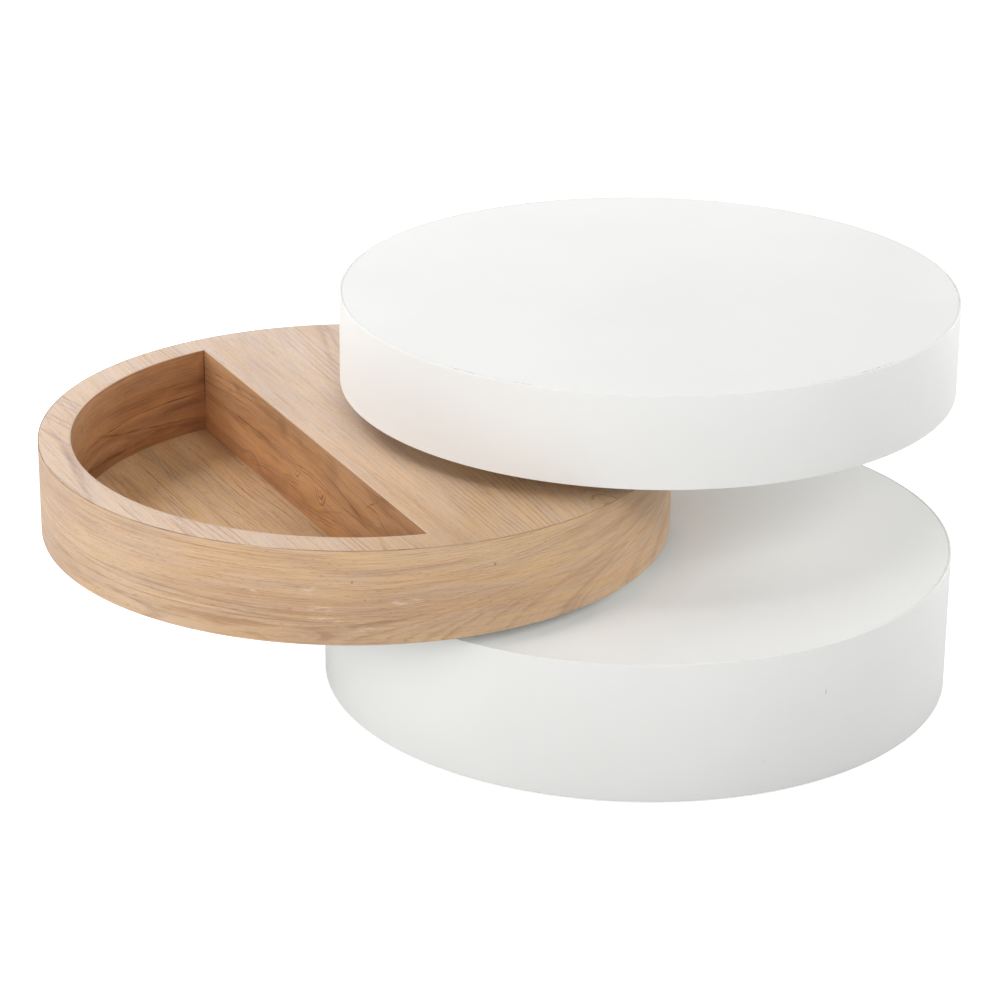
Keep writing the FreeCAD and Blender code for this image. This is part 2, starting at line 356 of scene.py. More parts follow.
def apart(tree, first, second):
    """How far two values lie from each other."""
    return math_of(tree, "ABSOLUTE", math_of(tree, "SUBTRACT", first, second))


def bearing_of(tree, place, centre):
    """Distance from an upright axis, and bearing round it from -pi to pi."""
    centred = vector_of(tree, "SUBTRACT", place, centre)
    x, y, _ = add(tree, "ShaderNodeSeparateXYZ", {0: centred}).outputs
    return distance_of(tree, x, y), math_of(tree, "ARCTAN2", y, x)


def lacquer_material(name, centre=None, seam_radius=0.0, gaps=(), scuffs=()):
    """Matt white lacquer: faint orange peel, slight unevenness of tone, a few dust specks.

    A centre and a seam's radius place a hairline over the joint of band and board. gaps are
    the stretches where it has opened, scuffs are small knocks."""
    material, tree, shader, place = new_material(name, 0.54, 0.12)
    peel = noise_of(tree, place, 420)
    cloud = noise_of(tree, place, 5, 3)
    specks = noise_of(tree, place, 340, 1)
    colour = mixed(tree, ranged(tree, cloud, 0.3, 0.7), paint(226, 226, 224), paint(229, 229, 227))
    colour = mixed(tree, ranged(tree, specks, 0.80, 0.84, 0, 0.4), colour, paint(205, 203, 198))
    if centre:
        radius, bearing = bearing_of(tree, place, centre)
        hairline = ranged(tree, apart(tree, radius, seam_radius), 0.0002, 0.0007, 1, 0)
        crumbs = ranged(tree, noise_of(tree, place, 260, 3, 0.7), 0.42, 0.56)
        colour = mixed(tree, product(tree, hairline, 0.06), colour, paint(120, 118, 112))
        for middle, half_span, strength in gaps:
            reach = math.radians(half_span)
            away = apart(tree, bearing, math.radians(middle))
            open_here = ranged(tree, away, reach / 2, reach, strength, 0, smooth=True)
            mask = product(tree, hairline, open_here, crumbs)
            colour = mixed(tree, mask, colour, paint(112, 110, 106))
    for spot, half_size, strength in scuffs:
        off = vector_of(tree, "DIVIDE", vector_of(tree, "SUBTRACT", place, spot), half_size)
        mask = ranged(tree, vector_of(tree, "LENGTH", off), 0.3, 1, strength, 0, smooth=True)
        colour = mixed(tree, mask, colour, paint(120, 108, 98))
    feed(tree, shader, colour, ranged(tree, cloud, 0.3, 0.7, 0.50, 0.58))
    bump(tree, shader, peel, 0.00006, 0.5)
    return material


base_skirt = white_band("base_skirt", "base_side_band", base_centre)
dress(base_skirt, lacquer_material("base_skirt_lacquer", scuffs=SKIRT_SCUFFS))
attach(base_skirt, "base")
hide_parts("base_side_band")

# ---------------------------------------------------------- white top of the base
# A round board let into the band, flush with its edge and lacquered with it, so
# that only a hairline shows round it. It is bored for the swivel's bolt and screws.

BOLT_BORE = 0.0062
PILOT_BORE = 0.0021
PILOT_RING = 0.110
PILOT_COUNT = 6
BORE_SEGMENTS = 32
# how far a cutter stands out of what it cuts, at either side
OVERCUT = 0.01
# bearing and half span in degrees, and strength, of each open stretch of the hairline
SHELF_GAPS = ((-20, 9, 0.25),)

pivot = centre_of("base_kingbolt_washer")


def carve(piece, cutter):
    """Cuts one solid out of another and deletes the cutter."""
    modifier = piece.modifiers.new("cut", "BOOLEAN")
    modifier.object = cutter
    modifier.operation = "DIFFERENCE"
    modifier.solver = "EXACT"
    pick(piece)
    bpy.ops.object.modifier_apply(modifier="cut")
    bpy.data.objects.remove(cutter)
    bpy.ops.object.shade_smooth_by_angle(angle=SMOOTH_ANGLE)


def bore_for_swivel(panel, node, bore, first_screw):
    """Cuts the swivel's bolt hole and screw pilots through a panel in a CAD node's place."""
    holes = [(pivot, bore)]
    for number in range(1, PILOT_COUNT + 1):
        turn = first_screw + 2 * math.pi * number / PILOT_COUNT
        holes.append((pivot + Vector((math.cos(turn), math.sin(turn), 0)) * PILOT_RING, PILOT_BORE))
    low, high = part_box(node)
    drills = []
    for place, radius in holes:
        drill = round_board("drill", radius, low.z - OVERCUT, high.z + OVERCUT, 0, BORE_SEGMENTS)
        drills.append(put(drill, place))
    carve(panel, join("drills", drills))


def bearing_to_pivot(centre):
    """Bearing of the swivel axis from a drum's centre."""
    return math.atan2(pivot.y - centre.y, pivot.x - centre.x)


base_shelf = inset_board("base_shelf", "base_top_panel", panel_radius, base_centre)
bore_for_swivel(base_shelf, "base_top_panel", BOLT_BORE, bearing_to_pivot(base_centre))
dress(base_shelf, lacquer_material("base_shelf_lacquer", base_centre, panel_radius, SHELF_GAPS))
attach(base_shelf, "base")
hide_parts("base_top_panel")

# ------------------------------------------------------------------- both swivels
# Pressed and turned steel turntables, zinc plated, each with a ring of hardened
# balls in a steel cage, wood screws, and a kingbolt with washer, nut and bush.


def vector_from(tree, **parts):
    """Vector put together from its parts."""
    return add(tree, "ShaderNodeCombineXYZ", parts).outputs[0]


def zinc_material():
    """Bright zinc plating, a little cloudy and bluish, with fine turning marks."""
    material, tree, shader, place = new_material("zinc_plated_steel", 0.35)
    centred = add(tree, "ShaderNodeMapping", {"Vector": place, "Location": (-pivot.x, -pivot.y, 0)})
    radius = vector_of(tree, "LENGTH", centred.outputs[0])
    rings = vector_from(tree, X=radius)
    marks = noise_of(tree, rings, (2600, 0, 0))
    cloud = noise_of(tree, place, 70, 3)
    colour = mixed(tree, cloud, paint(176, 180, 186), paint(206, 208, 208))
    shader.inputs["Metallic"].default_value = 1.0
    feed(tree, shader, colour, ranged(tree, cloud, 0.3, 0.7, 0.26, 0.42))
    bump(tree, shader, marks, 0.00004, 0.6)
    return material


def ball_material():
    """Polished steel with a film of grease."""
    material, tree, shader, place = new_material("polished_ball_steel", 0.12)
    film = noise_of(tree, place, 500)
    colour = mixed(tree, film, paint(188, 188, 190), paint(170, 166, 150))
    shader.inputs["Metallic"].default_value = 1.0
    feed(tree, shader, colour, ranged(tree, film, 0.3, 0.7, 0.08, 0.25))
    return material


def bush_material():
    """Off-white moulded plastic, faintly marbled."""
    material, tree, shader, place = new_material("moulded_bush_plastic", 0.42)
    marble = noise_of(tree, place, 180, 3)
    feed(tree, shader, mixed(tree, marble, paint(214, 210, 198), paint(228, 225, 216)))
    bump(tree, shader, marble, 0.0001, 0.3)
    return material


dress_nodes(
    zinc_material(),
    "lower_bottom_plate", "lower_top_plate", "lower_ball_cage", "base_plate_screws",
    "tray_under_screws", "base_kingbolt", "base_kingbolt_washer", "base_kingbolt_nut",
    "upper_bottom_plate", "upper_top_plate", "upper_ball_cage", "tray_deck_screws",
    "top_under_screws", "tray_kingbolt", "tray_kingbolt_washer", "tray_kingbolt_nut",
)
dress_nodes(ball_material(), "lower_balls", "upper_balls")
dress_nodes(bush_material(), "tray_bush", "top_bush")

# -------------------------------------------------------- inner boards of the tray
# Bent band, divider, ribs, rim blocks and the two thick boards round the swivel
# axis. Veneer, deck and linings hide them all.

dress_nodes(
    particle_board,
    "tray_side_band", "tray_divider", "tray_ribs", "tray_rim_blocks",
    "tray_lower_block", "tray_upper_block",
)

# ------------------------------------------------------------- floor of the tray
# A thin round board that closes the tray below: oak veneer on its upper side, pale
# balancing foil underneath. It is the recess's floor; its grain runs along the divider.

BUSH_BORE = 0.00915
# pale filler that stays in the pores
LIME = paint(226, 214, 208)
# millimetres over which curved figure lines and a lining's upper edge fade in
ARC_FADE = 3
LIP_FADE = 0.3

tray_centre = centre_of("tray_side_veneer")
tray_bearing = bearing_to_pivot(tray_centre)


def build_growth_group():
    """Figure of sliced oak: growth rings about a heart line, with what follows them.

    Grain Position is in metres, x along the grain and y across it. Sway bends the rings in
    long waves, Curl in short ones, and Swell pushes them outwards, as round a knot."""
    group = bpy.data.node_groups.new("oak_growth", "ShaderNodeTree")
    inlets = ("Heart Line", "Heart Depth", "Ring Width", "Sway", "Curl", "Swell", "Seed")
    group.interface.new_socket("Grain Position", in_out="INPUT", socket_type="NodeSocketVector")
    for name in inlets:
        group.interface.new_socket(name, in_out="INPUT", socket_type="NodeSocketFloat")
    for name in ("Late Wood", "Streaks", "Flame", "Fibre", "Pores", "Cloud", "Warmth"):
        group.interface.new_socket(name, in_out="OUTPUT", socket_type="NodeSocketFloat")
    given = group.nodes.new("NodeGroupInput").outputs
    result = group.nodes.new("NodeGroupOutput").inputs

    def give(name, value):
        group.links.new(value, result[name])

    seed = given["Seed"]
    shift = vector_from(group, X=seed, Y=seed, Z=seed)
    place = vector_of(group, "ADD", given["Grain Position"], shift)
    parts = add(group, "ShaderNodeSeparateXYZ", {0: given["Grain Position"]}).outputs

    def shaken(amount, scale, detail):
        off_centre = math_of(group, "SUBTRACT", noise_of(group, place, scale, detail), 0.5)
        return product(group, off_centre, amount)

    across = math_of(group, "SUBTRACT", parts["Y"], given["Heart Line"])
    across = math_of(group, "ADD", across, shaken(given["Sway"], (2.4, 8, 8), 1))
    across = math_of(group, "ADD", across, shaken(given["Curl"], (11, 26, 26), 2))
    radius = distance_of(group, across, given["Heart Depth"])
    radius = math_of(group, "ADD", radius, given["Swell"])
    shiver = shaken(product(group, given["Ring Width"], 0.7), (55, 260, 260), 2)
    rings = math_of(group, "DIVIDE", math_of(group, "ADD", radius, shiver), given["Ring Width"])
    ring_line = vector_from(group, X=rings, Y=seed)
    rings = math_of(group, "MULTIPLY_ADD", noise_of(group, ring_line, (0.3, 1, 1)), 4.0, rings)

    share = math_of(group, "FRACT", rings)
    rise = ranged(group, share, 0.55, 0.90, smooth=True)
    fall = ranged(group, share, 0.90, 1.0, 1.0, 0.0, smooth=True)
    number = math_of(group, "FLOOR", rings)
    tone = add(group, "ShaderNodeTexWhiteNoise", {"W": number}, noise_dimensions="1D").outputs["Value"]
    tone = math_of(group, "MULTIPLY_ADD", tone, 0.8, 0.2)
    zone = noise_of(group, place, (3, 22, 22))
    zone = ranged(group, zone, 0.36, 0.66, 0.15, 1.0, smooth=True)
    breaks = noise_of(group, place, (24, 130, 130))
    breaks = ranged(group, breaks, 0.38, 0.60, 0.3, 1.0, smooth=True)
    give("Late Wood", product(group, rise, fall, tone, zone, breaks))
    along = math_of(group, "ADD", parts["X"], seed)
    warped = vector_from(group, X=along, Y=rings)
    give("Streaks", noise_of(group, warped, (3.2, 0.9, 1), 4, 0.65))
    give("Flame", noise_of(group, warped, (6, 0.25, 1), 3, 0.55))
    give("Fibre", noise_of(group, place, (14, 620, 620), 3, 0.6))
    dashes = ranged(group, noise_of(group, place, (120, 900, 900), 1), 0.60, 0.70)
    early = ranged(group, share, 0.0, 0.5, 1.0, 0.45)
    give("Pores", product(group, dashes, early))
    give("Cloud", noise_of(group, place, (2.4, 14, 14), 3))
    give("Warmth", noise_of(group, place, (9, 70, 70), 3, 0.6))
    return group


oak_growth = build_growth_group()


def curve_of(tree, value, start, end, heights):
    """Height of a smooth curve through equally spaced points, read off at a value."""
    low = min(heights)
    # the curve is drawn from 0 to 1, so a level one needs a little room as well
    room = max(max(heights) - low, 1e-6)
    node = add(tree, "ShaderNodeFloatCurve", {"Value": ranged(tree, value, start, end)})
    points = node.mapping.curves[0].points
    while len(points) < len(heights):
        points.new(0.5, 0.5)
    for number, height in enumerate(heights):
        points[number].location = (number / (len(heights) - 1), (height - low) / room)
    node.mapping.update()
    return math_of(tree, "MULTIPLY_ADD", node.outputs[0], room, low)


def metres(given):
    """Lengths in metres, given in millimetres, alone or in tuples."""
    if isinstance(given, tuple):
        return tuple(metres(part) for part in given)
    return given / 1000


def streak(tree, x, y, start, end, heights, width, lines=1, gap=0):
    """Strength of one or more parallel lines, faded to their sides and ends."""
    start, end, heights, width, gap = metres((start, end, heights, width, gap))
    off = math_of(tree, "SUBTRACT", y, curve_of(tree, x, start, end, heights))
    if lines > 1:
        nearest = math_of(tree, "ROUND", ranged(tree, off, 0, gap * (lines - 1), 0, lines - 1))
        off = math_of(tree, "MULTIPLY_ADD", nearest, -gap, off)
    off = math_of(tree, "ABSOLUTE", off)
    core = ranged(tree, off, 0, width, 1, 0, smooth=True)
    fade = (end - start) / 4
    near = ranged(tree, x, start, start + fade, smooth=True)
    far = ranged(tree, x, end - fade, end, 1, 0, smooth=True)
    return product(tree, core, near, far)


def patch_distance(tree, x, y, middle, half_size):
    """Distance from the middle of an oval patch, 1 at its rim."""
    middle, half_size = metres((middle, half_size))
    across = math_of(tree, "DIVIDE", math_of(tree, "SUBTRACT", x, middle[0]), half_size[0])
    up = math_of(tree, "DIVIDE", math_of(tree, "SUBTRACT", y, middle[1]), half_size[1])
    return distance_of(tree, across, up)


def with_streaks(tree, colour, x, y, streaks, broken, late, pale):
    """Lays lines over a colour, in late wood or, below zero, in pale wood: figure lines, and a few
    lines of painted light and shade.
    """
    for start, end, heights, width, strength, *family in streaks:
        mask = streak(tree, x, y, start, end, heights, width, *family)
        mask = product(tree, mask, broken, abs(strength))
        colour = mixed(tree, mask, colour, late if strength > 0 else pale)
    return colour


def with_arcs(tree, colour, x, y, arcs, broken, late, pale):
    """Lays curved lines over a colour, one round the other below their middle."""
    for middle, half_size, count, strength in arcs:
        distance = patch_distance(tree, x, y, middle, half_size)
        wave = math_of(tree, "SINE", product(tree, distance, 2 * math.pi))
        above, below = metres((middle[1], middle[1] - ARC_FADE))
        hung = ranged(tree, y, below, above, strength, 0, smooth=True)
        inside = ranged(tree, distance, count - 0.5, count + 0.2, 1, 0, smooth=True)
        hung = product(tree, hung, inside, broken)
        colour = mixed(tree, product(tree, hung, ranged(tree, wave, 0.3, 1)), colour, late)
        colour = mixed(tree, product(tree, hung, ranged(tree, wave, -0.3, -1)), colour, pale)
    return colour


def with_tone_and_painted_light(tree, colour, x, y, start, end, slant, tints):
    """Tints a colour by a row of tints along a line across the surface, partly the wood's tone and
    partly painted light and shade.
    """
    along = math_of(tree, "MULTIPLY_ADD", y, slant, x)
    share = ranged(tree, along, metres(start), metres(end))
    ramp = add(tree, "ShaderNodeValToRGB", {0: share})
    elements = ramp.color_ramp.elements
    while len(elements) < len(tints):
        elements.new(0.5)
    for number, tint in enumerate(tints):
        elements[number].position = number / (len(tints) - 1)
        elements[number].color = paint(*tint)
    return mixed(tree, 1.0, colour, ramp.outputs[0], "MULTIPLY")


def oak_material(
    name, grain_place, colours, figure, shares, seed, heart, depth, presence=None, reach=None,
    streaks=(), arcs=(), knots_and_painted_shade=(), lime=(), tone_and_painted_light=None, edge=None, lip=None,
):
    """Matt oiled oak veneer. Lengths are in millimetres, colours as on a screen.

    colours: pale wood, middle tone, late wood, pores. figure: the growth group's lengths.
    shares: how much of each of the group's outputs shows. seed: shifts the group's noise.
    heart and depth: start, end and values of the heart line and its depth along the grain.
    presence: start, end and values of the rings' strength across the grain; reach: the same
    along it. streaks: start, end, heights, width and strength, below zero for a pale one, and
    for a family of parallel lines their number and gap; a few of them are painted light and
    shade. arcs: middle, half size, number and strength of curved lines hung one round the
    other. knots_and_painted_shade: middle, half size, darkness and how far rings bulge round
    it, for dark marks: knots, flecks, joints and, on the divider, a patch of painted shade.
    lime: middle and half size of patches where pale filler stays in the pores.
    tone_and_painted_light: start, end, slant and colours of a row of tints laid along a line
    across the surface, partly the wood's own tone and partly painted light and shade. edge:
    where across the grain a dark trimmed edge starts and where it is full. lip: where across
    the grain the upper edge starts, and its colour.
    where across the grain the upper edge starts, and its colour."""
    material, tree, shader, place = new_material(name, 0.6, 0.3)
    grain = grain_place(tree, place)
    parts = add(tree, "ShaderNodeSeparateXYZ", {0: grain}).outputs
    shiver = math_of(tree, "SUBTRACT", noise_of(tree, grain, (28, 160, 1), 3), 0.5)
    x = parts["X"]
    y = math_of(tree, "MULTIPLY_ADD", shiver, 0.6 * metres(figure["Ring Width"]), parts["Y"])

    inlets = {key: metres(value) for key, value in figure.items()}
    inlets["Grain Position"] = grain
    inlets["Seed"] = seed
    inlets["Heart Line"] = curve_of(tree, x, *metres(heart))
    inlets["Heart Depth"] = curve_of(tree, x, *metres(depth))
    distances = [patch_distance(tree, x, y, *knot[:2]) for knot in knots_and_painted_shade]
    for distance, (_, _, _, bulge) in zip(distances, knots_and_painted_shade):
        if bulge:
            lump = ranged(tree, distance, 0, 2.5, metres(bulge), 0, smooth=True)
            inlets["Swell"] = math_of(tree, "ADD", inlets.get("Swell", 0), lump)

    out = add(tree, "ShaderNodeGroup", inlets, node_tree=oak_growth).outputs
    pale, middle, late, pore = [paint(*colour) for colour in colours]
    cloud = ranged(tree, out["Cloud"], 0.32, 0.68, 0, shares["Cloud"], smooth=True)
    colour = mixed(tree, cloud, pale, middle)
    for kind in ("Flame", "Streaks"):
        colour = mixed(tree, ranged(tree, out[kind], 0.50, 0.68, 0, shares[kind]), colour, late)
        colour = mixed(tree, ranged(tree, out[kind], 0.46, 0.32, 0, shares[kind]), colour, pale)
    rings = product(tree, out["Late Wood"], shares["Late Wood"])
    for line, axis in ((presence, y), (reach, x)):
        if line:
            start, end, heights = line
            rings = product(tree, rings, curve_of(tree, axis, metres(start), metres(end), heights))
    colour = mixed(tree, rings, colour, late)
    broken = ranged(tree, noise_of(tree, grain, (26, 150, 1), 3, 0.6), 0.36, 0.60, 0.45, 1.0)
    colour = with_streaks(tree, colour, x, y, streaks, broken, late, pale)
    colour = with_arcs(tree, colour, x, y, arcs, broken, late, pale)
    for distance, (_, _, darkness, _) in zip(distances, knots_and_painted_shade):
        mask = ranged(tree, distance, 0.2, 1, darkness, 0, smooth=True)
        colour = mixed(tree, mask, colour, pore)
    fibre = out["Fibre"]
    colour = mixed(tree, ranged(tree, fibre, 0.50, 0.66, 0, shares["Fibre"]), colour, late)
    colour = mixed(tree, ranged(tree, fibre, 0.46, 0.34, 0, shares["Fibre"]), colour, pale)
    colour = mixed(tree, product(tree, out["Pores"], shares["Pores"]), colour, pore)
    filler = ranged(tree, noise_of(tree, grain, (60, 420, 1), 3, 0.6), 0.50, 0.62)
    for patch in lime:
        mask = ranged(tree, patch_distance(tree, x, y, *patch), 0.3, 1, 0.55, 0, smooth=True)
        colour = mixed(tree, product(tree, mask, filler), colour, LIME)
    warmth = ranged(tree, out["Warmth"], 0.38, 0.62)
    warmth = mixed(tree, warmth, paint(250, 251, 255), paint(255, 250, 240))
    colour = mixed(tree, 1.0, colour, warmth, "MULTIPLY")
    if tone_and_painted_light:
        colour = with_tone_and_painted_light(tree, colour, x, y, *tone_and_painted_light)
    if edge:
        patchy = ranged(tree, noise_of(tree, grain, (18, 18, 1), 3), 0.35, 0.65, 0.15, 0.85)
        trimmed = product(tree, ranged(tree, parts["Y"], *metres(edge)), patchy)
        colour = mixed(tree, trimmed, colour, pore)
    if lip:
        start, tint = lip
        mask = ranged(tree, parts["Y"], metres(start), metres(start + LIP_FADE))
        colour = mixed(tree, mask, colour, paint(*tint))
    feed(tree, shader, colour, ranged(tree, fibre, 0.3, 0.7, 0.55, 0.68))
    bump(tree, shader, math_of(tree, "MULTIPLY_ADD", out["Pores"], -1.5, fibre), 0.0003, 0.8)
    return material


def along_divider(tree, place):
    """Grain position of a flat board: x along the divider, y towards the swivel axis."""
    centred = vector_of(tree, "SUBTRACT", place, tray_centre)
    inputs = {"Vector": centred, "Rotation": (0, 0, -tray_bearing - math.pi / 2)}
    turned = add(tree, "ShaderNodeMapping", inputs, vector_type="POINT").outputs[0]
    return vector_of(tree, "MULTIPLY", turned, (1, -1, 1))


def foil_material():
    """Pale grey balancing foil with a faint printed mottle."""
    material, tree, shader, place = new_material("balancing_foil", 0.6, 0.2)
    mottle = noise_of(tree, place, 120, 3)
    feed(tree, shader, mixed(tree, mottle, paint(216, 216, 212), paint(226, 226, 222)))
    bump(tree, shader, mottle, 0.00005, 0.4)
    return material


inset_radius = radius_of("tray_floor_panel")
recess_floor = inset_board("recess_floor", "tray_floor_panel", inset_radius, tray_centre)
bore_for_swivel(recess_floor, "tray_floor_panel", BUSH_BORE, tray_bearing)
floor_oak = oak_material(
    "oak_floor_veneer", along_divider,
    ((219, 181, 138), (200, 158, 115), (108, 70, 45), (90, 61, 42)),
    {"Ring Width": 6.2, "Sway": 22, "Curl": 8},
    {"Late Wood": 1.05, "Streaks": 0.12, "Flame": 0.1, "Fibre": 0.24, "Pores": 0.35, "Cloud": 0.8},
    seed=3,
    heart=(-310, 310, (-235, -235, -240, -250)),
    depth=(-310, 310, (20, 22, 12, 30, 50)),
    presence=(-310, -50, (0.6, 0.45, 0.55, 1, 1)),
    reach=(-310, 310, (1, 0.9, 0.75, 0.6, 0.6)),
    streaks=(
        (-30, 170, (-83.5, -85, -91.5, -89), 1.2, 0.6, 2, 9),
        (40, 260, (-91, -101, -100, -98.5), 1.3, 0.6),
        (10, 220, (-111, -113, -109.5, -110), 1.2, 0.5),
        (20, 110, (-115, -124, -133, -141), 1.4, 0.45, 2, -5),
        (0, 150, (-143, -145, -146.5, -148), 1.2, 0.5),
        (160, 260, (-149, -145, -141, -137), 1.2, 0.4, 2, -6),
        (40, 270, (-168, -169, -170, -168), 1.4, 0.75),
        (50, 140, (-172, -172.5, -173.5, -173), 1.2, 0.6, 2, -4.5),
        (30, 180, (-184, -183.5, -181.5, -181), 1.2, 0.45),
        (70, 230, (-201, -202, -201.5, -201), 1.3, 0.5, 3, -9),
        # the three broad lines below are painted light and shade: lighter along the divider and darker
        # by the curved wall towards one end, darker along the divider's foot towards the other
        (150, 360, (-75, -80, -85, -85), 45, -0.7),
        (170, 330, (-220, -215, -210, -205), 45, 0.22),
        (-80, 180, (-60, -60, -60, -60), 28, 0.14),
    ),
    lime=(
        ((205, -66), (6, 3)), ((188, -70), (4, 3)), ((176, -64), (5, 3)),
    ),
    # the tints make the floor a little darker towards the divider than towards the curved wall: painted
    # shade
    tone_and_painted_light=(-1100, -250, 5, (
        (255, 255, 255), (255, 255, 255), (245, 244, 243), (229, 228, 226), (247, 246, 244),
    )),
)
dress(recess_floor, floor_oak)
recess_floor.data.materials.append(foil_material())
for face in recess_floor.data.polygons:
    face.material_index = 1 if face.normal.z < -LEVEL else 0
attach(recess_floor, "tray")
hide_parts("tray_floor_panel")

# ----------------------------------------------------------- linings of the recess
# The recess's walls are faced with thin oak veneered sheet stood on the floor: a
# straight piece on the divider and a piece bent round the rim, butted in the corners.

LINING_EASE = 0.0003
LINING_STEPS = 2
LINING_WALL = 0.0015
CHORD_OFFSET = 0.0578
RIM_WIDTH = 0.036
# upper edge of a lining: millimetres up the wall, and colour
LIP = (98.6, (196, 172, 150))

recess_radius = drum_radius - RIM_WIDTH


def keep_segment(piece, chord):
    """Keeps what lies beyond a chord on the local -x side and closes the cut."""
    start_edit(piece)
    bpy.ops.mesh.select_all(action="SELECT")
    bpy.ops.mesh.bisect(
        plane_co=(-chord, 0, 0), plane_no=(1, 0, 0), use_fill=True, clear_outer=True
    )
    end_edit()


def wrap_uv(piece, centre, radius, floor_height, seam):
    """Unrolls a round wall: u is metres round it from the seam, v is metres up it."""
    mesh = piece.data
    while mesh.uv_layers:
        mesh.uv_layers.remove(mesh.uv_layers[0])
    layer = mesh.uv_layers.new(name="unrolled")
    for face in mesh.polygons:
        middle = (math.atan2(face.center.y - centre.y, face.center.x - centre.x) - seam) % (2 * math.pi)
        for loop in face.loop_indices:
            point = mesh.vertices[mesh.loops[loop].vertex_index].co
            turn = math.atan2(point.y - centre.y, point.x - centre.x) - seam
            turn = middle + (turn - middle + math.pi) % (2 * math.pi) - math.pi
            layer.data[loop].uv = (turn * radius, point.z - floor_height)


def unrolled_grain(tree, place):
    """Grain position of a bent sheet, from its unrolled map."""
    return add(tree, "ShaderNodeUVMap", uv_map="unrolled").outputs[0]


low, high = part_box("tray_curved_lining")
lining_seam = tray_bearing + math.pi / 2
rim_lining = round_band(
    "rim_lining", recess_radius + LINING_WALL, LINING_WALL, low.z, high.z, 0, LINING_EASE
)
keep_segment(rim_lining, CHORD_OFFSET)
put(rim_lining, tray_centre, tray_bearing)
wrap_uv(rim_lining, tray_centre, recess_radius, low.z, lining_seam)
rim_lining_oak = oak_material(
    "oak_rim_lining_veneer", unrolled_grain,
    ((200, 150, 106), (174, 122, 80), (96, 56, 31), (66, 38, 24)),
    {"Ring Width": 7.5, "Sway": 30, "Curl": 16},
    {"Late Wood": 0.2, "Streaks": 0.22, "Flame": 0.4, "Fibre": 0.25, "Pores": 0.2, "Cloud": 0.9},
    seed=9,
    heart=(60, 900, (85, 78, 85, 70, 80)),
    depth=(60, 900, (20, 30, 20, 35)),
    streaks=(
        (20, 320, (48, 47, 46, 43, 45), 1.3, 0.8),
        (20, 140, (41, 40, 38, 34), 8, 0.55),
        (40, 280, (15, 19, 26, 38, 58), 2.2, 0.65),
        (40, 220, (11, 14, 20, 30), 5.5, 0.45),
        (140, 340, (8, 10, 14, 16), 4.5, 0.6),
        (20, 120, (66, 62, 58, 54), 6, 0.35),
        (30, 380, (35, 33, 33, 36), 12, 0.4),
        (100, 250, (70, 72, 73, 71), 12, -0.4),
        (60, 190, (90.5, 90, 89.5, 89), 1.2, -0.45),
        (0, 600, (4, 10, 14, 12, 12), 14, 0.45),
        # a dark line just under the upper edge: painted shadow of the deck's edge
        (20, 900, (96.8, 96.8, 97, 96.8), 1.4, 0.6),
        (20, 900, (0.8, 0.7, 0.6, 0.7), 1, -0.55),
    ),
    knots_and_painted_shade=(
        ((58.6, 72), (1, 50), 0.8, 0), ((299, 73), (4, 8), 0.3, 20), ((520, 50), (10, 6), 0.2, 30),
    ),
    tone_and_painted_light=(100, 400, 0, ((255, 255, 255), (254, 255, 255), (243, 250, 253), (240, 249, 255))),
    lip=LIP,
)
dress(rim_lining, rim_lining_oak)
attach(rim_lining, "tray")
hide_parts("tray_curved_lining")

half_chord = math.sqrt((recess_radius + LINING_WALL) ** 2 - CHORD_OFFSET ** 2)
bpy.ops.mesh.primitive_cube_add(
    size=1,
    location=(-CHORD_OFFSET + LINING_WALL / 2, 0, (low.z + high.z) / 2),
    scale=(LINING_WALL, 2 * half_chord, high.z - low.z),
)
divider_facing = bpy.context.object
divider_facing.name = "divider_facing"
bpy.ops.object.transform_apply()
start_edit(divider_facing)
ease_edges(
    divider_facing, LINING_EASE,
    lambda a, b: max(a.x, b.x) < -CHORD_OFFSET + LINING_EASE, LINING_STEPS,
)
end_edit()
put(divider_facing, tray_centre, tray_bearing)
# height of the recess's floor over the tray's middle
recess_height = low.z - tray_centre.z


def divider_grain(tree, place):
    """Grain position of the divider's facing: x along it, y up it."""
    parts = add(tree, "ShaderNodeSeparateXYZ", {0: along_divider(tree, place)}).outputs
    height = math_of(tree, "SUBTRACT", parts["Z"], recess_height)
    return vector_from(tree, X=parts["X"], Y=height)


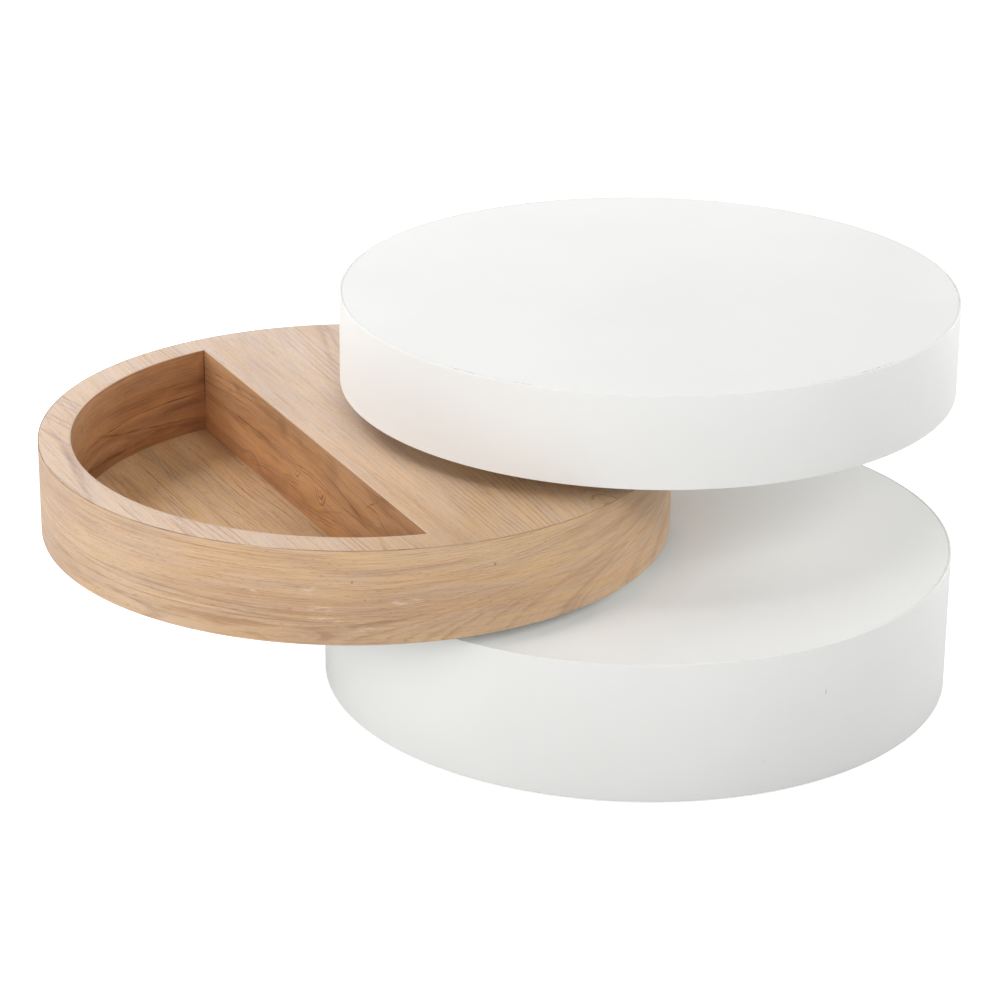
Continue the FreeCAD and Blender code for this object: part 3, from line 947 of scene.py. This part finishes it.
divider_oak = oak_material(
    "oak_divider_veneer", divider_grain,
    ((230, 180, 129), (213, 159, 111), (124, 75, 46), (96, 60, 40)),
    {"Ring Width": 7, "Sway": 30, "Curl": 22},
    {"Late Wood": 0.3, "Streaks": 0.2, "Flame": 0.35, "Fibre": 0.25, "Pores": 0.2, "Cloud": 0.8},
    seed=5,
    heart=(-310, 310, (50, 40, 46, 48, 50)),
    depth=(-310, 310, (20, 10, 4, 10, 20)),
    streaks=(
        (50, 420, (49.5, 52.5, 48.5, 47.5, 50), 6.5, 0.35),
        (60, 340, (46, 48, 46.5, 44, 45), 1.1, 0.55, 2, 4.5),
        (-120, 90, (46, 51, 56, 52, 45.5), 1.4, 0.65),
        (-100, 90, (44, 48, 51.5, 49, 44.5), 1.1, 0.6),
        (-100, 70, (47, 54, 59, 54, 49), 1, -0.45),
        (-220, -150, (60, 66, 75, 64), 1.8, 0.6),
        (-190, -150, (92, 83, 76, 66), 1.6, 0.6),
        (-175, -40, (48, 55, 64, 70), 2.2, 0.6),
        (-155, -100, (46, 50, 54, 56), 1.4, 0.4, 2, 3.5),
        (-190, -80, (46, 47, 48, 48), 1.8, 0.55),
        (-20, 340, (45, 43, 40.5, 38.5), 1, -0.9),
        (-20, 340, (46.4, 44.4, 41.9, 39.9), 0.7, 0.5),
        (-92, -10, (45, 37, 27, 17), 2, -0.6),
        (-98, -16, (43, 34, 24, 15), 1.3, 0.5),
        (20, 80, (37, 33, 30, 27), 1.2, 0.45, 2, -4.5),
        (0, 180, (24, 22.5, 23, 18, 4), 1.2, 0.5, 2, -4),
        (10, 185, (26, 24.5, 25.2, 20, 6), 1, -0.6, 2, -4),
        (-100, 20, (27, 22, 17, 14), 1.2, 0.5, 3, -4.8),
        (110, 360, (96, 89, 80, 72), 1.6, 0.55, 3, -8),
        (80, 420, (56, 58, 64, 70), 28, 0.24),
    ),
    arcs=(
        ((-32, 46), (6.2, 7.5), 3, 0.8), ((34, 46), (6, 5.5), 2, 0.7),
    ),
    knots_and_painted_shade=(
        ((-65, 80), (26, 22), 0.2, 0), ((73, 86), (18, 20), 0.22, 0), ((205, 86), (18, 7), 0.25, 0),
        ((-37, 38), (4, 5), 0.3, 12), ((165, 12), (12, 10), 0.1, 12),
        # a dark joint line in the corner, and a broad darker patch over the corner: painted shade
        ((308.5, 55), (1, 80), 0.45, 0), ((320, 40), (60, 90), 0.14, 0),
    ),
    lime=(
        ((217, 78), (7, 8)), ((220, 62), (6, 4)), ((-183, 62), (10, 6)),
    ),
    # the tints make the facing darker and greyer towards its top than at its foot: painted light and
    # shade
    tone_and_painted_light=(-1350, 100, -12, (
        (200, 199, 204), (210, 210, 211), (228, 226, 228), (255, 255, 255), (250, 247, 250),
    )),
    lip=LIP,
)
dress(divider_facing, divider_oak)
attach(divider_facing, "tray")
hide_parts("tray_divider_lining")

# ------------------------------------------------------------- deck of the tray
# One round oak veneered board with the recess sawn out of it, glued down on the
# band, linings and ribs. The grain runs along the recess's straight side.

DECK_EASE = 0.0003
CUT_CLEARANCE = 0.0001

low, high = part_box("tray_deck_panel")
deck_radius = radius_of("tray_deck_panel")
tray_deck = round_board("tray_deck", deck_radius, low.z, high.z, DECK_EASE, RIM_SEGMENTS)
cut_radius = recess_radius + LINING_WALL + CUT_CLEARANCE
waste = round_board("waste", cut_radius, low.z - OVERCUT, high.z + OVERCUT, 0, RIM_SEGMENTS)
keep_segment(waste, CHORD_OFFSET - LINING_WALL)
carve(tray_deck, waste)
put(tray_deck, tray_centre, tray_bearing)
bore_for_swivel(tray_deck, "tray_deck_panel", BOLT_BORE, tray_bearing)
deck_oak = oak_material(
    "oak_deck_veneer", along_divider,
    ((216, 194, 176), (208, 183, 162), (150, 116, 98), (114, 87, 73)),
    {"Ring Width": 5.6, "Sway": 20, "Curl": 6},
    {"Late Wood": 0.8, "Streaks": 0.08, "Flame": 0.08, "Fibre": 0.24, "Pores": 0.32, "Cloud": 0.8},
    seed=1,
    heart=(-350, 350, (150, 150, 155, 170)),
    depth=(-350, 350, (10, 50, 65, 80, 110)),
    presence=(-350, 350, (0.35, 0.35, 0.25, 0.6, 0.95, 1, 1)),
    reach=(-350, 350, (1, 0.85, 0.2, 0.3, 0.5)),
    streaks=(
        (-420, -150, (2, 6, 8, 9), 1.2, 0.55, 8, 5.6),
        (-420, -150, (47, 54, 61, 68), 1.2, 0.6, 6, 6.2),
        (120, 360, (34, 38, 42, 46), 1.8, 0.35, 5, 6.8),
        (180, 370, (56, 72, 92, 110), 6.5, 0.4),
        (220, 380, (82, 94, 105, 112), 4, 0.35),
        (-370, -20, (-34, -40, -46, -49), 1.2, 0.4, 3, 4),
        (-370, -260, (-73, -77, -80, -80), 1.5, 0.4, 2, -6),
        (-370, -260, (-124, -115, -107, -101), 4, 0.4),
        (-370, -250, (-127, -128, -129, -130), 1.4, 0.5, 4, -5.5),
        (-290, -140, (-230, -235, -240, -245), 1.8, 0.5, 6, -7.5),
        (-250, -150, (-275, -279, -282, -282), 4, 0.45),
        (-190, -80, (-308, -312, -315, -316), 1.6, 0.45),
        (-150, 110, (-330, -343, -347.5, -344), 2.6, 0.55),
        (-120, 100, (-342, -335, -323, -312), 5, 0.5),
        (-60, 160, (-332, -321, -312, -309), 6, 0.5),
        (50, 180, (-300, -307, -315, -321), 3, 0.4),
        (100, 230, (-272, -283, -293, -302), 2.5, 0.45, 2, -8),
        (120, 260, (-252, -262, -272, -283), 2, 0.45, 3, 7.5),
        (230, 350, (-149, -152, -154, -156), 1.5, 0.35, 3, -7),
        (260, 360, (-120, -130, -128, -116), 3, 0.35),
        (250, 370, (-85, -87, -88, -88), 1.3, 0.45, 5, -5.5),
        (100, 500, (125, 120, 110, 100), 80, 0.13),
    ),
    knots_and_painted_shade=(
        ((0.3, 2.4), (1.6, 1), 0.85, 0), ((2.3, 13), (1.2, 0.8), 0.7, 0),
        ((-205, 58), (2.4, 0.9), 0.6, 0), ((-215, 46), (3, 0.9), 0.6, 0),
        ((-102, 0), (10, 0.9), 0.4, 0),
    ),
    # the tints make the deck darker and yellower towards the top drum: painted shade and painted warm
    # bounce light
    tone_and_painted_light=(-500, 100, -1.6, ((236, 226, 206), (228, 213, 187), (242, 233, 219), (255, 255, 255))),
)
dress(tray_deck, deck_oak)
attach(tray_deck, "tray")
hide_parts("tray_deck_panel")

# ------------------------------------------------------------ veneer of the side
# A long strip of oak veneer pressed round the outside of the tray, its grain
# running round, trimmed flush with the deck and the floor.

VENEER_WALL = 0.0008
VENEER_ROUND = 0.0003
SEAM_BEARING = math.radians(60)

tray_radius = radius_of("tray_side_veneer")
low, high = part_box("tray_side_veneer")
tray_wrap = round_band("tray_wrap", tray_radius, VENEER_WALL, low.z, high.z, VENEER_ROUND, 0)
put(tray_wrap, tray_centre)
wrap_uv(tray_wrap, tray_centre, tray_radius, low.z, SEAM_BEARING)
side_oak = oak_material(
    "oak_side_veneer", unrolled_grain,
    ((213, 188, 160), (195, 167, 143), (138, 102, 82), (110, 82, 68)),
    {"Ring Width": 1.1, "Sway": 12, "Curl": 3},
    {"Late Wood": 0.7, "Streaks": 0.24, "Flame": 0.2, "Fibre": 0.26, "Pores": 0.2, "Cloud": 0.9},
    seed=7,
    heart=(880, 2200, (0, 0, -4, -6, -6, 0, 0)),
    depth=(880, 2200, (150, 150, 148, 132, 106, 82, 65)),
    reach=(800, 1800, (0.3, 0.8, 1.1, 1, 0.65, 0.45)),
    streaks=(
        (800, 1340, (44, 42.5, 41, 36, 30), 1.6, 0.45),
        (860, 1360, (40, 37, 34, 27, 22), 2.2, 0.4),
        (880, 1330, (26, 27, 26, 25), 1.2, 0.55),
        (800, 1240, (47.5, 46, 45.5, 45), 1.2, -0.5),
    ),
    knots_and_painted_shade=(
        ((1293, 70.5), (1.6, 1.6), 0.8, 1), ((1444, 76.5), (1.6, 2.2), 0.7, 1),
        ((1306, 50.5), (1.6, 1.6), 0.6, 1), ((1020, 6), (30, 5), 0.1, 4),
        ((1230, 8), (25, 5), 0.1, 3), ((0, 50), (0.6, 200), 0.6, 0),
    ),
    lime=(
        ((1191, 55), (6, 10)), ((1260, 40), (18, 10)), ((1265, 28), (30, 4)), ((1300, 20), (30, 8)),
        ((1350, 46), (30, 5)), ((1415, 30), (25, 4)), ((948, 74), (1.2, 8)), ((1077, 80), (1, 6)),
        ((1250, 62), (10, 8)),
    ),
    # the tints make the strip warmer in its middle and cooler towards its ends at the seam: partly the
    # veneer's tone, partly painted light
    tone_and_painted_light=(800, 2200, 0, (
        (250, 251, 255), (254, 245, 233), (253, 244, 230), (254, 246, 233), (250, 251, 255),
    )),
    edge=(104, 104.7),
)
dress(tray_wrap, side_oak)
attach(tray_wrap, "tray")
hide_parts("tray_side_veneer")

# ---------------------------------------------------------------- white top drum
# Made as the base is: ribs and a pivot block between two round boards, a bent band
# wrapped round them and matt white lacquer over all, with a hairline round the face.

# open stretches of the hairline, given as for the base
FACE_GAPS = (
    (-126, 5, 0.75), (-116, 5, 0.55), (-57, 8, 0.35), (-48, 5, 0.80), (5, 6, 0.70), (-6, 4, 0.40),
)

dress_nodes(particle_board, "top_ribs", "top_pivot_block")

top_centre = centre_of("top_side_band")
top_underside = inset_board("top_underside", "top_bottom_panel", panel_radius, top_centre)
bore_for_swivel(top_underside, "top_bottom_panel", BUSH_BORE, bearing_to_pivot(top_centre))
top_face = inset_board("top_face", "top_face_panel", panel_radius, top_centre)
top_skirt = white_band("top_skirt", "top_side_band", top_centre)
top_lacquer = lacquer_material("top_drum_lacquer", top_centre, panel_radius, FACE_GAPS)
for piece, node in (
    (top_underside, "top_bottom_panel"), (top_face, "top_face_panel"), (top_skirt, "top_side_band"),
):
    dress(piece, top_lacquer)
    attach(piece, "top")
    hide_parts(node)

# ------------------------------------------------------------------- studio floor
# A wide sheet of pale studio paper. It glows to the camera alone, so that it looks
# white without throwing much light up under the table.

FLOOR_SIZE = 40.0
FLOOR_GAP = 0.0002
PAPER_GLOW = 0.8

bpy.ops.mesh.primitive_plane_add(size=FLOOR_SIZE, location=(0, 0, -FLOOR_GAP))
studio_floor = bpy.context.object
studio_floor.name = "studio_floor"
paper, tree, shader, place = new_material("studio_paper", 1.0, 0.0)
fibres = noise_of(tree, place, 300)
feed(tree, shader, mixed(tree, fibres, paint(202, 202, 202), paint(204, 204, 204)))
seen = add(tree, "ShaderNodeLightPath").outputs["Is Camera Ray"]
shader.inputs["Emission Color"].default_value = (1, 1, 1, 1)
tree.links.new(product(tree, seen, PAPER_GLOW), shader.inputs["Emission Strength"])
dress(studio_floor, paper)

# ------------------------------------------------------------------ studio light
# Wide white soft boxes stand in a ring round the table, with a few hung above.

BOX_WIDTH = 2.0
BOX_DISTANCE = 3.5
LIGHT_AIM = Vector((-0.15, 0.05, 0.25))
# the backdrop is as pale as the paper to the camera, but gives next to no light
BACKDROP_LIGHT = 0.005
# bearing and height of each box in degrees, how tall it is in metres, and its power in watts
SOFT_BOXES = (
    (45, 8, 1.0, 72), (90, 8, 1.0, 13), (180, 8, 1.0, 30), (225, 8, 1.0, 23), (0, 20, 1.3, 23),
    (225, 20, 1.3, 40), (270, 20, 1.3, 17), (135, 34, 1.3, 83), (315, 34, 1.3, 49), (0, 88, 2.0, 37),
)

for bearing, height, tall, power in SOFT_BOXES:
    light = bpy.data.lights.new("soft_box", "AREA")
    light.shape = "RECTANGLE"
    light.size = BOX_WIDTH
    light.size_y = tall
    light.energy = power
    lamp = bpy.data.objects.new("soft_box", light)
    bpy.context.scene.collection.objects.link(lamp)
    swung = Matrix.Rotation(math.radians(bearing), 3, "Z")
    raised = Matrix.Rotation(-math.radians(height), 3, "Y")
    toward = swung @ raised @ Vector((1, 0, 0))
    lamp.location = LIGHT_AIM + toward * BOX_DISTANCE
    lamp.rotation_euler = (-toward).to_track_quat("-Z", "Y").to_euler()

world = bpy.data.worlds.new("studio")
bpy.context.scene.world = world
world.use_nodes = True
tree = world.node_tree
seen = add(tree, "ShaderNodeLightPath").outputs["Is Camera Ray"]
strength = ranged(tree, seen, 0, 1, BACKDROP_LIGHT, PAPER_GLOW)
tree.nodes["Background"].inputs["Color"].default_value = (1, 1, 1, 1)
tree.links.new(strength, tree.nodes["Background"].inputs["Strength"])

# ------------------------------------------------------------------------ camera
# A long lens a little above the table, level but for half a degree of roll.

CAMERA_PLACE = (-0.15363, -3.51168, 1.62730)
CAMERA_PITCH = 22.13
CAMERA_ROLL = 0.53
CAMERA_LENS = 122.32

lens = bpy.data.cameras.new("camera")
lens.lens = CAMERA_LENS
camera = bpy.data.objects.new("camera", lens)
bpy.context.scene.collection.objects.link(camera)
tilt = Matrix.Rotation(math.radians(90 - CAMERA_PITCH), 4, "X")
roll = Matrix.Rotation(math.radians(CAMERA_ROLL), 4, "Z")
camera.matrix_world = Matrix.Translation(CAMERA_PLACE) @ tilt @ roll
bpy.context.scene.camera = camera
bpy.context.scene.view_settings.view_transform = "Standard"
